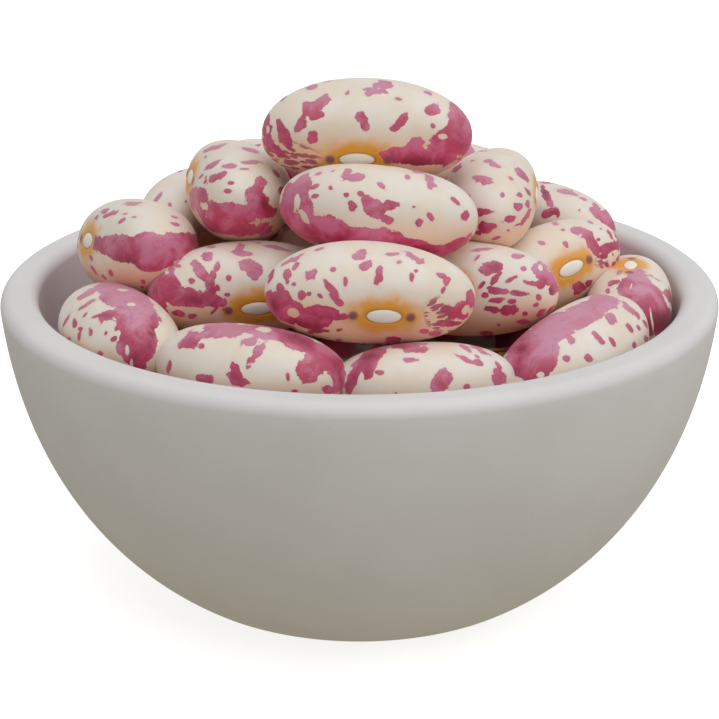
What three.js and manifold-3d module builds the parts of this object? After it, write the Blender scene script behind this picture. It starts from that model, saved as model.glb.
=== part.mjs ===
// Bowl of dried beans: a small round-sided bowl with a thick rounded rim, filled past the brim with large
// speckled beans. The bowl is a turned solid. The beans are one solid heap: separate beans joined onto a mound
// that fills the bowl. Millimetres, +Z up, origin at the middle of the flat foot.

import * as THREE from 'three';
import { mergeVertices } from 'three/addons/utils/BufferGeometryUtils.js';
import Module from 'manifold-3d';

// Bowl
const RIM_RADIUS = 31;
const SHOULDER_HEIGHT = 26;         // where the wall ends and the rounding of the rim begins
const RIM_ROUNDING = 1.1;
const WALL = 3.25;
const CURVE_DEPTH = 35;             // from the upright level of the wall to its lowest point, below the foot
const UPRIGHT_ABOVE_SHOULDER = 4.6; // the upright level, where the wall would stand straight up
const CURVE_POWER = 2.2;            // 2 is an ellipse, more is squarer
const FOOT_ROUNDING = 1;
const FLOOR_KNEE = 1.6;             // how softly the inner wall runs into the floor
const KNEE_REACH = 2;               // how far the knee reaches in along the floor, in heights of the knee
const BOWL_SECTORS = 48;
const WALL_CROWDING = 1.5;          // 1 spaces the rows of a wall evenly, more draws them down
const OUTER_ROWS = 9;
const INNER_ROWS = 7;
const CORNER_STEPS = 3;             // steps of each rounded corner

// Beans
const BEAN_LENGTH = 16.8;
const BEAN_THICKNESS = 7.9;
const BEAN_DEPTH = 8.7;             // from the eye to the back
const BEAN_POWER = 2.2;             // 2 is an ellipsoid, more is fuller
const BEAN_BEND = 0.7;              // how far the tips droop towards the eye
const BEAN_BEND_SHARE = 0.35;       // the part of the bend that lifts the middle instead
const EYE_SIDE_FLATNESS = 0.9;
const BEAN_SECTORS = 12;
const BEAN_RINGS = 8;
const FACET_SWELL = 1.02;           // the facets lie half inside and half outside the round bean

// Heap
const CLEARANCE = 0.3;             // between the heap and the bowl
const HEAP_SECTORS = 28;
const SHOULDER_OF_HEAP = [25.4, 19.5];  // radius and height where the mound leaves the wall
const TOP_OF_MOUND = 36;
const SLOPE_PULL = [0.5, 34];       // the slope bends towards this share of the radius, at this height
const MOUND_ROWS = 6;

const WELD = 1e-4;                  // points closer than this are one point

// The beans, each with its place (x, y, z), its yaw, pitch and roll in degrees and its size.
// Yaw turns the long axis about Z, pitch lifts its forward tip, and roll turns the eye from straight down at 0.
const BEANS = [
  // the crown
  [0.62, -5.4, 41.05, 182, 1, 68, 1.03],
  // the front, from the crown down
  [1.5, -11.0, 35.9, -5, -5, 90, 0.96],
  [0.8, -17.8, 31.2, 4, -4, -80, 0.97],
  // below the crown
  [-10.7, -1.5, 35.2, 102, -6, 108, 1.04],
  [11.5, -1.7, 34.5, 81, 0, -95, 0.97],
  [1.0, 1.9, 36.1, 5, 0, 90, 0.92],
  [-6.4, 9.5, 32.9, -20, -8, 90, 0.92],
  [6.8, 9.8, 33.0, 8, 0, -90, 0.9],
  // the middle of the slope
  [-9.4, -9.6, 28.9, 5, 2, -80, 0.95],
  [-19.2, -3.2, 30.5, 114, -12, 106, 1.08],
  [-15.3, 9.0, 30.3, 72, 0, -90, 0.92],
  [8.15, -9.4, 29.0, 165, -2, 112, 0.99],
  [15.5, -3.2, 28.3, 34, 12, -107, 0.95],
  [17.4, 8.8, 29.2, -60, 4, 90, 0.95],
  [8.0, 15.4, 27.6, -50, 0, 90, 0.85],
  [-4.6, 16.4, 28.2, 10, 0, 90, 0.95],
  // round the wall
  [-19.45, -12.25, 25.95, -62, 4, 90, 0.975],
  [-8.5, -20.8, 26.0, -19, 0, 90, 0.92],
  [5.1, -20.7, 24.65, 12, -2, 90, 0.88],
  [17.2, -14.7, 24.85, 47, 10, 90, 1.0],
  [23.1, -3.6, 25.5, 79, 0, 180, 0.94],
  [18.6, 13.4, 23.0, -52, 0, 90, 0.95],
  [-0.8, 22.4, 23.6, -2, 0, 90, 0.95],
  [-15.4, 16.4, 23.6, 45, 0, 90, 0.95],
  [-20.85, 6.95, 20.0, 86, 0, 90, 0.88],
];

const wasm = await Module();
wasm.setup();

// Radius of a wall at a height: a superellipse about the upright level, scaled to meet the shoulder.
function wallRadius(height, shoulderRadius, depth) {
  const bulge = (drop) => Math.pow(1 - Math.pow(Math.min(drop / depth, 1), CURVE_POWER), 1 / CURVE_POWER);
  const drop = SHOULDER_HEIGHT + UPRIGHT_ABOVE_SHOULDER - height;
  return (shoulderRadius * bulge(drop)) / bulge(UPRIGHT_ABOVE_SHOULDER);
}

function outerRadius(height) {
  return wallRadius(height, RIM_RADIUS, CURVE_DEPTH);
}

// The inner wall, or a surface a clearance inside it.
function innerRadius(height, clearance = 0) {
  return wallRadius(height, RIM_RADIUS - WALL - clearance, CURVE_DEPTH - WALL - clearance);
}

// Points up a wall from one height to another, closer together near the bottom, where the wall curves most.
function wallPoints(radiusAt, bottom, top, steps) {
  const points = [];
  for (let i = 0; i <= steps; i++) {
    const height = bottom + (top - bottom) * Math.pow(i / steps, WALL_CROWDING);
    points.push(new THREE.Vector2(radiusAt(height), height));
  }
  return points;
}

// The points of a rounded corner from one point to another, bending towards the corner.
function rounded(from, corner, to) {
  return new THREE.QuadraticBezierCurve(from, corner, to).getPoints(CORNER_STEPS);
}

// A quarter turn of the rim, from its outer side to its top or from its top to its inner side.
function rimQuarter(centreRadius, startAngle) {
  const points = [];
  for (let i = 1; i <= CORNER_STEPS; i++) {
    const angle = startAngle + (Math.PI / 2) * (i / CORNER_STEPS);
    const across = centreRadius + RIM_ROUNDING * Math.cos(angle);
    points.push(new THREE.Vector2(across, SHOULDER_HEIGHT + RIM_ROUNDING * Math.sin(angle)));
  }
  return points;
}

// The rounded knee where the inner wall meets the floor, and the floor to the axis.
function floorPoints(clearance) {
  const floor = WALL + clearance;
  const wallEnd = floor + FLOOR_KNEE;
  const corner = new THREE.Vector2(innerRadius(floor, clearance), floor);
  const from = new THREE.Vector2(innerRadius(wallEnd, clearance), wallEnd);
  const to = new THREE.Vector2(corner.x - KNEE_REACH * FLOOR_KNEE, floor);
  return [...rounded(from, corner, to), new THREE.Vector2(0, floor)];
}

function bowlGeometry() {
  const footRadius = outerRadius(0);
  const footEdge = rounded(
    new THREE.Vector2(footRadius - FOOT_ROUNDING, 0),
    new THREE.Vector2(footRadius, 0),
    new THREE.Vector2(outerRadius(FOOT_ROUNDING), FOOT_ROUNDING),
  );
  const innerWall = wallPoints(innerRadius, WALL + FLOOR_KNEE, SHOULDER_HEIGHT, INNER_ROWS).reverse();
  const profile = [
    new THREE.Vector2(0, 0),
    ...footEdge.slice(0, -1),
    ...wallPoints(outerRadius, FOOT_ROUNDING, SHOULDER_HEIGHT, OUTER_ROWS),
    ...rimQuarter(RIM_RADIUS - RIM_ROUNDING, 0),
    ...rimQuarter(RIM_RADIUS - WALL + RIM_ROUNDING, Math.PI / 2).slice(0, -1),
    ...innerWall.slice(0, -1),
    ...floorPoints(0),
  ];
  return turned(profile, BOWL_SECTORS);
}

// A profile of (radius, height) points turned about Z.
function turned(profile, sectors) {
  return new THREE.LatheGeometry(profile, sectors).rotateX(Math.PI / 2);
}

// One bean about its own middle: a full-bodied ellipsoid, long along X, a little flat on the side of the eye
// (-Z), whose tips droop towards the eye.
function beanGeometry() {
  const geometry = new THREE.SphereGeometry(1, BEAN_SECTORS, BEAN_RINGS).rotateZ(Math.PI / 2);
  const position = geometry.attributes.position;
  for (let i = 0; i < position.count; i++) {
    const direction = new THREE.Vector3().fromBufferAttribute(position, i);
    const power = (value) => Math.pow(Math.abs(value), BEAN_POWER);
    const reach = Math.pow(power(direction.x) + power(direction.y) + power(direction.z), -1 / BEAN_POWER);
    const along = direction.x * reach;
    const flatness = direction.z < 0 ? EYE_SIDE_FLATNESS : 1;
    const depth = (BEAN_DEPTH / 2) * direction.z * reach * flatness;
    const droop = BEAN_BEND * (along * along - BEAN_BEND_SHARE);
    position.setXYZ(i, (BEAN_LENGTH / 2) * along, (BEAN_THICKNESS / 2) * direction.y * reach, depth - droop);
  }
  return geometry;
}

// The mound that carries the beans: it fills the bowl a clearance inside the wall and rises in an even slope.
function moundGeometry() {
  const inside = (height) => innerRadius(height, CLEARANCE);
  const [shoulderRadius, shoulderHeight] = SHOULDER_OF_HEAP;
  const [pullShare, pullHeight] = SLOPE_PULL;
  const slope = new THREE.QuadraticBezierCurve(
    new THREE.Vector2(shoulderRadius, shoulderHeight),
    new THREE.Vector2(shoulderRadius * pullShare, pullHeight),
    new THREE.Vector2(0, TOP_OF_MOUND),
  );
  const wall = wallPoints(inside, WALL + CLEARANCE + FLOOR_KNEE, shoulderHeight, MOUND_ROWS);
  const profile = [...floorPoints(CLEARANCE).reverse(), ...wall.slice(1), ...slope.getPoints(MOUND_ROWS)];
  return turned(profile, HEAP_SECTORS);
}

// A closed mesh as a solid that can be joined and cut.
function solid(geometry) {
  const bare = geometry.clone();
  bare.deleteAttribute('normal');
  bare.deleteAttribute('uv');
  const merged = mergeVertices(bare, WELD);
  const vertProperties = new Float32Array(merged.attributes.position.array);
  const triVerts = new Uint32Array(merged.index.array);
  return new wasm.Manifold(new wasm.Mesh({ numProp: 3, vertProperties, triVerts }));
}

// A solid as a mesh geometry.
function geometryOf(shape) {
  const mesh = shape.getMesh();
  const geometry = new THREE.BufferGeometry();
  geometry.setAttribute('position', new THREE.BufferAttribute(mesh.vertProperties, 3));
  geometry.setIndex(new THREE.BufferAttribute(mesh.triVerts, 1));
  geometry.computeVertexNormals();
  return geometry;
}

// A bean in its place: rolled about its long axis, then pitched, then turned about Z.
function placed(bean, [x, y, z, yaw, pitch, roll, size]) {
  const degrees = THREE.MathUtils.degToRad;
  const turn = new THREE.Euler(degrees(roll), degrees(-pitch), degrees(yaw), 'ZYX');
  const scale = new THREE.Vector3().setScalar(size * FACET_SWELL);
  const matrix = new THREE.Matrix4().makeRotationFromEuler(turn).scale(scale);
  return bean.clone().applyMatrix4(matrix.setPosition(x, y, z));
}

function heapGeometry() {
  const bean = beanGeometry();
  let heap = solid(moundGeometry());
  for (const place of BEANS) {
    heap = heap.add(solid(placed(bean, place)));
  }
  return geometryOf(heap);
}

const ceramic = new THREE.MeshStandardMaterial({ color: 0xcfccc7, roughness: 0.6, metalness: 0 });
const beanSkin = new THREE.MeshStandardMaterial({ color: 0xd8c6bc, roughness: 0.4, metalness: 0 });

const bowl = new THREE.Mesh(bowlGeometry(), ceramic);
bowl.name = 'bowl';

const beanHeap = new THREE.Mesh(heapGeometry(), beanSkin);
beanHeap.name = 'bean_heap';

const group = new THREE.Group();
group.add(bowl, beanHeap);

export default group;
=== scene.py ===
"""A small round-sided ceramic bowl heaped with large speckled beans.

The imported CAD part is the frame. Its bowl is replaced by a finely turned one, and its heap by separate
beans over a smaller mound. Shapes are worked out in millimetres, in the frame of the part, and written to
the meshes in metres.
"""

import math

import bpy
import numpy as np
from bpy.props import FloatProperty, FloatVectorProperty, IntProperty, PointerProperty
from bpy.types import Operator, Panel, PropertyGroup
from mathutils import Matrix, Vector


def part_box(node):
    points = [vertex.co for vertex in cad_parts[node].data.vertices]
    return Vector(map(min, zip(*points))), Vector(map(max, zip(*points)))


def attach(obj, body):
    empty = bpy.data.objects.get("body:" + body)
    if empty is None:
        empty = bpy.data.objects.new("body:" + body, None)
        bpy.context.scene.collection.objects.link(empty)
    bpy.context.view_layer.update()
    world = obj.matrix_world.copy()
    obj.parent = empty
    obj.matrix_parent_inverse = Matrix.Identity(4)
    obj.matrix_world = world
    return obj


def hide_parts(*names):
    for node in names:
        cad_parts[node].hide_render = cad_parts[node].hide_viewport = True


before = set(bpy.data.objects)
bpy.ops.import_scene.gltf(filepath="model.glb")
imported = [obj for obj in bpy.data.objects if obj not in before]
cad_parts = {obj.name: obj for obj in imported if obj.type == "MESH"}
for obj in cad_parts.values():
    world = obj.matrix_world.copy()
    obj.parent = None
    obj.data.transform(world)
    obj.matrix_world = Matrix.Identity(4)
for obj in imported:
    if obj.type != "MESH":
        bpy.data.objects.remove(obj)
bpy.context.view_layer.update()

bl_info = {
    "name": "Bowl of beans",
    "version": (1, 0, 0),
    "blender": (4, 5, 0),
    "location": "3D View > Sidebar > Beans",
    "description": "Makes a ceramic bowl heaped with speckled beans and the stage it stands on",
    "category": "Object",
}

MM = 0.001
BODY = "root"
BOWL_NODE = "bowl"
HEAP_NODE = "bean_heap"
BOWL_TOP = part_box(BOWL_NODE)[1]
BAKE_MAP = "OFBake"  # the name of the map for a bake

# The bowl, in millimetres
UPRIGHT_ABOVE_SHOULDER = 4.6  # how far above the shoulder the wall would stand upright
CURVE_DEPTH = 35.0  # from that level to the wall's lowest point, below the foot
CURVE_POWER = 2.2  # 2 is an ellipse, more is squarer
FOOT_ROUNDING = 1.0
FLOOR_KNEE = 1.6  # how softly the inner wall runs into the floor

# Steps along its line
WALL_CROWDING = 1.5  # 1 is even, more is closer together near the bottom
FOOT_STEPS = 11
EDGE_STEPS = 8
OUTER_STEPS = 40
RIM_STEPS = 10
INNER_STEPS = 32
FLOOR_STEPS = 9

# The mound under the beans, in millimetres
CORE_CLEARANCE = 0.5
CORE_SHOULDER = (24.0, 15.0)  # radius and height where it leaves the wall
CORE_TOP = 25.0
CORE_CROWN = 0.55  # how wide its top is, as a share of the shoulder
CORE_RELIEF = 0.7
CORE_WAVES = (1.1, 1.3)  # of the relief, in radians to the millimetre
CORE_FADE = 2.0  # the relief rises from nothing over this height
CORE_STEPS = (5, 8, 16)  # round the knee, up the wall and up the slope
CORE_SECTORS = 72

# A bean, in millimetres
BEAN_POWER = 2.2  # 2 is an ellipsoid, more is fuller
BEAN_BEND = 0.7  # how far the tips droop towards the eye
BEAN_BEND_SHARE = 0.35  # the part of the bend that lifts the middle instead
TIP = 8.4  # how far a tip is from the middle
DENT = 0.09  # unevenness of the surface
DENT_WAVES = 5
DENT_PACE = 1.9  # how quickly the waves run
EYE_SIDE_FLATNESS = 0.9
EYE_ALONG = 0.9  # the eye lies this far from the middle
EYE_HALF = (1.42, 0.62)  # half its length and width
EYE_RISE = 0.10
GROOVE = (0.05, 1.02, 0.12)  # round the eye: its depth, and its place and width in half sizes of the eye
DOTS_ALONG = (-2.45, 2.1)  # the two raised dots, from the middle of the eye
DOT_RADIUS = 0.42
DOT_RISE = 0.10

# Its mesh
EYE_RINGS = (0.4, 0.7, 0.86, 0.95, 1.04, 1.14, 1.3, 1.55)  # rings near the eye, in half lengths of the eye
RING_BIAS = 1 / 8  # how much closer the rings lie near both poles
SECTOR_BIAS = 0.18  # how much closer the points of a ring lie along the sides
MAP_COLUMNS = 7  # cells side by side on the map for the bake
MAP_FILL = 0.92  # how much of its cell an oval takes

# The camera, in millimetres, and the side of its square picture in picture units
CAMERA_PLACE = (0.0, -150.2, 74.86)
CAMERA_AIM = (0.0, 0.0, 19.2)
CAMERA_CLIP = 10.0
LENS = 90.0
SENSOR = 36.0
PICTURE = 719.0

# The light
WHITE = (1.0, 1.0, 1.0)
KEY_FROM = (0.24, -0.20, 1.0)  # where the soft light comes from
FILL_FROM = (1.0, -0.4, 0.05)  # where the weak one comes from
BELOW = (0.60, 0.485, 0.24)  # colour of the light from below
BELOW_REACH = (-1.0, 0.1)  # it fades from straight down, at -1, to just above level
BACKDROP = 1.1  # brightness of what shows beyond the floor

# The beans that show: place (x, y, z), yaw, pitch and roll in degrees, and size. Yaw turns the long axis
# about Z, pitch lifts its forward tip, and roll turns the eye from straight down at 0.
BEANS = {
    "crown": (0.62, -5.4, 41.05, 182, 1, 68, 1.03),
    "upper_front": (1.5, -11.0, 35.9, -5, -5, 90, 0.96),
    "front": (0.8, -17.8, 31.2, 4, -4, -80, 0.97),
    "upper_left": (-10.7, -1.5, 35.2, 102, -6, 108, 1.04),
    "upper_right": (11.5, -1.7, 34.5, 81, 0, -95, 0.97),
    "behind_crown": (1.0, 1.9, 36.1, 5, 0, 90, 0.92),
    "back_left_high": (-6.4, 9.5, 32.9, -20, -8, 90, 0.92),
    "back_right_high": (6.8, 9.8, 33.0, 8, 0, -90, 0.9),
    "left_front": (-9.4, -9.6, 28.9, 5, 2, -80, 0.95),
    "left": (-19.2, -3.2, 30.5, 114, -12, 106, 1.08),
    "left_back": (-15.3, 9.0, 30.3, 72, 0, -90, 0.92),
    "right_front": (8.15, -9.4, 29.0, 165, -2, 112, 0.99),
    "right": (15.5, -3.2, 28.3, 34, 12, -107, 0.95),
    "right_back": (17.4, 8.8, 29.2, -60, 4, 90, 0.95),
    "back_right": (8.0, 15.4, 27.6, -50, 0, 90, 0.85),
    "back": (-4.6, 16.4, 28.2, 10, 0, 90, 0.95),
    "rim_left": (-19.45, -12.25, 25.95, -62, 4, 90, 0.975),
    "rim_front_left": (-8.5, -20.8, 26.0, -19, 0, 90, 0.92),
    "rim_front_right": (5.1, -20.7, 24.65, 12, -2, 90, 0.88),
    "rim_right_front": (17.2, -14.7, 24.85, 47, 10, 90, 1.0),
    "rim_right": (23.1, -3.6, 25.5, 79, 0, 180, 0.94),
    "rim_back_right": (18.6, 13.4, 23.0, -52, 0, 90, 0.95),
    "rim_back": (-0.8, 22.4, 23.6, -2, 0, 90, 0.95),
    "rim_back_left": (-15.4, 16.4, 23.6, 45, 0, 90, 0.95),
    "rim_left_back": (-20.85, 6.95, 20.0, 86, 0, 90, 0.88),
}

# Rings of beans below those, which show only through the gaps: how many, radius of the ring, height
LOWER_RINGS = ((9, 14.5, 20.3), (4, 5.6, 27.0))
LOWER_STRAY = (8, 30, 10)  # degrees by which each may stray: round the ring, from its line, from level
LOWER_SIZES = (0.88, 0.96)
SEED = 11

# What is drawn on the beans that face the front, as ellipses in that view: (x, y, half length, half width,
# tilt in degrees), in picture units with y downwards. Near ones run together.
# Patches and spots of colour
MARKS = {
    "crown": (
        (312, 87, 6.5, 2.6, -20), (328, 81, 5, 1.2, -8), (283, 99, 5, 2, -45), (321, 104, 10.5, 6.5, -35),
        (310, 109, 8.5, 7, 0), (300, 123, 10, 4.6, -65), (317, 116, 6.5, 3.5, -20), (347, 93, 3.3, 2, -50),
        (383, 85, 9.3, 3.9, 8), (374, 92, 10.8, 4, -8), (398, 99, 4.3, 2.6, 0), (429, 93, 4.6, 1.7, 20),
        (433, 110, 9.5, 7, -20), (433, 126, 2.6, 2.9, 0), (361, 117, 6.6, 6, 0), (364, 126, 4.6, 5.7, 0),
        (400, 122, 9.5, 4.6, -52), (416, 144, 9.5, 6, -30), (285, 135, 14.3, 5.2, 68),
        (313, 137, 7, 5.2, -55), (267, 128, 20, 5, 84), (277, 151, 10.5, 4.5, 38), (462, 126, 29, 12, 80),
        (446, 145, 22, 14, -40), (420, 157, 37, 9, 2), (389, 155, 10, 5.5, -5),
    ),
    "front": (
        (292, 260, 11.3, 2.6, -25), (320, 249, 4.5, 1.2, -15), (362, 254, 5.4, 4.2, 0),
        (356, 257, 4.5, 3, 0), (365, 264, 7.2, 5.8, -20), (392, 254, 7, 1.8, -3), (399, 262, 3, 2, 0),
        (414, 258, 11.5, 2.8, 30), (419, 262, 4.4, 3.2, 0), (287, 276, 7, 4.2, 90), (295, 267, 4, 2.3, -50),
        (271, 276, 7.8, 2.6, -75), (311, 274, 6.8, 5.6, -10), (333, 269, 2.6, 2.3, 0),
        (345, 282, 5.9, 2.4, 90), (379, 276, 8.8, 4.6, 90), (412, 277, 4.2, 2.6, 90), (416, 271, 2, 2, 0),
        (294, 284, 2.5, 2, 0), (442, 275, 5.6, 3.2, 10), (447, 282, 6.6, 3.8, -80), (443, 290, 5.4, 3, -55),
        (331, 288, 9.6, 3, 50), (336, 300, 7.6, 3, 42), (302, 295, 4.6, 4.2, 0), (309, 294, 3.2, 2.5, 0),
        (320, 296, 3, 1.7, 35), (281, 300, 11, 10, 90), (295, 313, 20, 10.5, 25), (320, 313, 18.5, 8.5, 3),
        (341, 317, 13, 3.8, 0), (319, 324, 13, 6.5, -20), (319, 331, 10.6, 2.6, 0), (281, 290, 6, 3.6, 75),
        (339, 330, 3.5, 1.7, -15), (339, 340, 2.8, 1.4, 0), (291, 327, 5.6, 1.2, 25), (393, 340, 8.5, 4, 5),
        (424, 331, 4.4, 2.4, 5), (435, 334, 6.5, 3.2, -5), (448, 324, 11.5, 3, -3),
        (451, 331, 3.8, 1.5, -15), (446, 310, 7.5, 5, 0), (460, 309, 13, 6.5, -40), (470, 299, 10, 4, 80),
        (460, 316, 9.5, 3.4, -10), (272, 305, 16, 7, 75),
    ),
    "upper_front": (
        (295, 214, 34, 17, 95), (303, 185, 12, 8, -60), (328, 233, 28, 16, 10), (366, 240, 42, 13, 3),
        (408, 247, 36, 10, 10), (441, 252, 36, 7, -8), (462, 243, 13, 5, -30), (348, 171.5, 5, 4, 90),
        (353, 177.5, 12, 4.2, 3), (333, 171, 2.8, 1, -20), (319, 173.5, 4, 1.4, -20),
        (315, 186.5, 5.8, 2.6, -25), (330, 188, 2.6, 2.7, 0), (315, 196, 3, 2, -15), (346, 195, 3, 2.8, 0),
        (352, 206, 5, 4.2, 90), (360.5, 194, 3.4, 2.5, 20), (376, 210, 10.5, 10, 0),
        (392, 206, 11.5, 4.5, -10), (384, 218, 9.5, 4, 20), (367, 200, 6, 5.5, 0), (382, 186, 5, 2.8, 40),
        (408, 177, 3, 2, 20), (430, 182, 10, 4.2, 60), (411, 169, 15, 1.8, 20), (455, 201, 6.3, 1.9, 38),
        (464, 216, 4.6, 4.3, 90), (414, 207, 2.4, 1.7, 0), (420, 222, 4.7, 4.1, 0),
        (430, 216, 4.9, 2.6, 55), (329, 216, 3, 2, 0), (333, 218, 3, 2, 0),
    ),
    "left_front": (
        (211.5, 247, 4.8, 1.2, -3), (207, 257, 5.6, 5, 0), (217, 266, 5.3, 2.5, -72), (240, 247, 5, 3.2, 0),
        (239, 252.6, 13.5, 2.6, 8), (258, 243, 3, 0.8, 3), (277, 248, 12.5, 1.8, 13),
        (246, 265.5, 10.5, 6.5, 20), (254.5, 272, 9, 8.8, 0), (228, 278, 3.9, 2.9, 75),
        (196, 264.5, 6.5, 4.4, 10), (202, 273, 12, 6, 50), (211, 286, 11, 5.5, 62),
        (213, 276, 4.4, 2.8, 90), (218, 288, 4.6, 3.2, 60), (227, 295, 3, 2.4, 0), (192, 281, 3.4, 3, 0),
        (201, 292, 3.6, 1.4, 40), (166, 281, 19, 12, 80), (174, 261, 10, 5, -70), (178.5, 266, 5.2, 2, 5),
        (185, 297, 24, 9.5, 10), (208, 300, 20, 6.5, 8), (222, 304, 7, 3.5, 0), (177, 313, 5.9, 3, 12),
        (192, 316, 3.4, 2.4, 0), (215, 310, 4.5, 1.3, -45), (225, 309, 3.4, 1.6, -20),
        (164, 308, 6, 1.4, 50), (156, 282, 26, 10, 82),
    ),
    "upper_left": (
        (214, 148, 11.2, 2.1, -18), (250, 150, 9, 2, 12), (205.5, 157, 2, 1, -50),
        (212, 165, 7.8, 2.4, -30), (229, 166, 6.6, 2.4, -2), (250.5, 162.5, 10.4, 1.9, 0),
        (245, 169, 4.6, 1.3, 0), (201, 176.5, 2.8, 1.1, -45), (215, 178, 13.5, 3.9, -20),
        (231, 183, 3, 1.7, 0), (228, 191, 3.5, 1.9, 0), (276, 173.5, 4.6, 1.6, 45), (282, 192, 5.2, 5, 0),
        (262, 181, 6.8, 6.5, 0), (254.5, 193, 10, 7.5, -20), (258, 202, 11.5, 9, 0),
        (226, 212.5, 27, 10.5, 2), (230, 226, 27, 10, 6), (199.5, 200, 14, 9.5, 75),
        (264, 213, 15, 5.6, -5), (262, 229, 12, 5.3, -12),
    ),
    "left": (
        (133, 203.6, 8, 2, 0), (105, 211, 4.6, 2, -20), (111, 214, 8, 2, -22), (96.5, 218, 3.6, 1.7, -50),
        (125, 214, 3.2, 1.2, -15), (134, 217, 3.2, 1.2, -8), (123, 220.5, 4.4, 1.7, -30),
        (174.6, 217, 3.9, 1.4, 18), (174.6, 224, 4.6, 1.7, 15), (92, 243, 7, 4, 12), (96, 243, 8, 5.3, 15),
        (104, 245, 12, 9, 10), (124, 249, 22, 14.5, 8), (151, 251, 26, 20, 5), (178, 245, 20, 13, 0),
        (197, 240, 12, 6, 0), (91, 258, 3, 1.2, 60), (110, 272.5, 4.8, 2, 60), (104, 277, 4.2, 1.2, 40),
        (143, 282, 2.8, 2.2, 30), (142, 287, 2.4, 1.2, 30), (93, 269, 5.5, 1.2, 55),
    ),
    "left_back": (
        (158.3, 197.2, 7.2, 2, -57), (169.9, 205.1, 2.6, 1.5, 90), (185.9, 201.6, 1.6, 1.3, 90),
        (181, 170.4, 3.8, 1.3, -28), (151, 203, 2.5, 1.5, 0),
    ),
    "right_front": (
        (483, 249, 11.6, 1.7, -6), (477, 258, 3.4, 1.4, -45), (485, 268, 7, 5.6, 90),
        (496, 267, 7.4, 6.6, 0), (497, 277, 6.8, 3.4, -50), (518, 256, 6, 3, 5), (523, 268.5, 3, 2.7, 0),
        (510, 280, 7.2, 2.4, -28), (482, 285, 4.8, 2.6, -50), (489, 288, 2.8, 1.6, 0),
        (500, 291, 10, 3.6, 0), (518, 293, 9.6, 2.6, 6), (485, 295, 3.2, 2.4, 0), (496, 300, 7, 3.2, -15),
        (491, 309.5, 7.6, 3.6, 25), (509, 310, 9, 5.6, -5), (513, 302, 4.2, 2.6, 0), (540, 270, 9.6, 9, 0),
        (548.5, 278, 11.5, 6.6, 15), (535, 283, 9.6, 3.6, 5), (554, 288, 6.6, 4.6, 85),
        (540, 286, 4, 2.8, 0), (539, 297, 3.3, 3, 0), (536, 305, 2.6, 1.7, -20), (541, 312, 5.8, 2.7, -45),
        (525, 313.5, 2.5, 1.7, 0), (525, 322, 7, 2.1, 2), (498.5, 325, 2.5, 1.5, 0),
        (487, 334, 6.6, 2.8, 5), (551, 309, 5, 1.6, -45), (516, 246, 3, 0.9, 0), (450, 266.5, 1.6, 1.2, 0),
    ),
    "right": (
        (541.8, 242.8, 3.7, 1.9, 20), (565.5, 244.4, 3.9, 2.2, 60), (555.4, 223.5, 3.6, 1.6, 0),
        (563.1, 229.8, 1.9, 1.4, 0), (577.5, 230, 8, 4, 8), (588, 235.5, 7.4, 5, 28),
        (591, 243, 6.5, 5.2, 55), (595, 250, 7, 4.2, 50), (598.2, 239.3, 2.1, 1.8, 60),
        (600.8, 228.7, 1.4, 1, 0), (590.5, 222.5, 3.8, 1.5, 22), (612, 246.5, 9.5, 5, -14),
        (605, 250, 8, 4, -12), (618, 240, 9, 5.2, 85), (610, 234, 7.5, 2, 62), (602, 256.3, 5, 3, -12),
        (606.3, 255, 2.4, 1.4, 90), (613, 254.5, 2.4, 1.2, 70), (618, 258, 3.2, 1.4, -60),
        (613.8, 263.6, 2.8, 1.4, -60), (606.5, 264.4, 2.6, 1.7, 60), (601.6, 266.8, 1.9, 1.8, 0),
        (602, 262, 4.5, 0.9, 8), (577.8, 287.5, 7.4, 4.6, -60), (588.5, 282.8, 5.6, 2.8, -62),
        (583.5, 288, 4, 2.4, -30), (598.3, 281.5, 4, 1, -52),
    ),
    "upper_right": (
        (481.1, 150.9, 4.3, 0.7, 0), (478.3, 147.3, 2.2, 0.6, 0), (472.6, 160.7, 2.9, 1.1, 0),
        (492.6, 163, 7.8, 2.8, 22), (520.8, 172.8, 10.5, 3, 50), (484, 180.5, 10.4, 3.5, 15),
        (511.1, 178.7, 3.1, 1.3, 42), (456.9, 168, 6.2, 2.5, -33), (527.9, 191.9, 4.8, 1.4, 58),
        (502.6, 194.8, 2.3, 1.9, 60), (519.4, 195.1, 3.6, 2.2, 20), (518.6, 206.2, 5.2, 4.6, 0),
        (527.6, 203.4, 4, 2.4, 90), (468.3, 196.6, 3.4, 2, 55), (485, 211.2, 11, 2.6, 7),
        (478.6, 212.6, 3.6, 3.4, 0), (509, 219.1, 7.8, 3.7, -18), (484, 228, 7.8, 7.5, 0),
        (491.5, 226.3, 5.6, 3, 0), (478, 233, 4, 3.5, 0), (496.9, 238, 4.6, 1.3, -20),
        (526, 217.3, 8, 2.2, -55), (518.3, 224.4, 3.2, 1, -20), (529, 211.6, 4, 1.5, -60),
        (508.3, 230.5, 1.4, 1, 0),
    ),
    "right_back": (
        (547, 196.8, 9.5, 3.8, 66), (543, 190, 5, 2.6, 80), (549.4, 213.1, 9, 5, 0),
        (557.3, 212.5, 3, 2, 90), (567.6, 192.5, 11, 2.2, 12), (582.8, 199, 3.9, 1.3, 20),
        (572.8, 188.1, 3.8, 0.9, 10), (579.2, 210.4, 1.8, 1.7, 0), (599.2, 214.5, 11.5, 4.6, 22),
        (605.7, 217.8, 10, 6.5, 50), (596.3, 206.6, 6, 1.6, 55), (612.2, 224.8, 8, 4, 62),
        (549.4, 182, 9, 1.6, 0),
    ),
    "rim_left": (
        (116, 297.5, 19, 9.5, 5), (137, 319, 21, 20, 0), (137, 345, 22.5, 20, 90),
        (87.5, 293, 15, 2.6, -30), (107, 314.5, 8.5, 5.5, -25), (97, 316, 4.8, 1.3, -20),
        (102, 320, 4.6, 2.6, -75), (87.5, 304, 9, 1.8, -32), (67, 319, 7, 1.4, -62),
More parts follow.
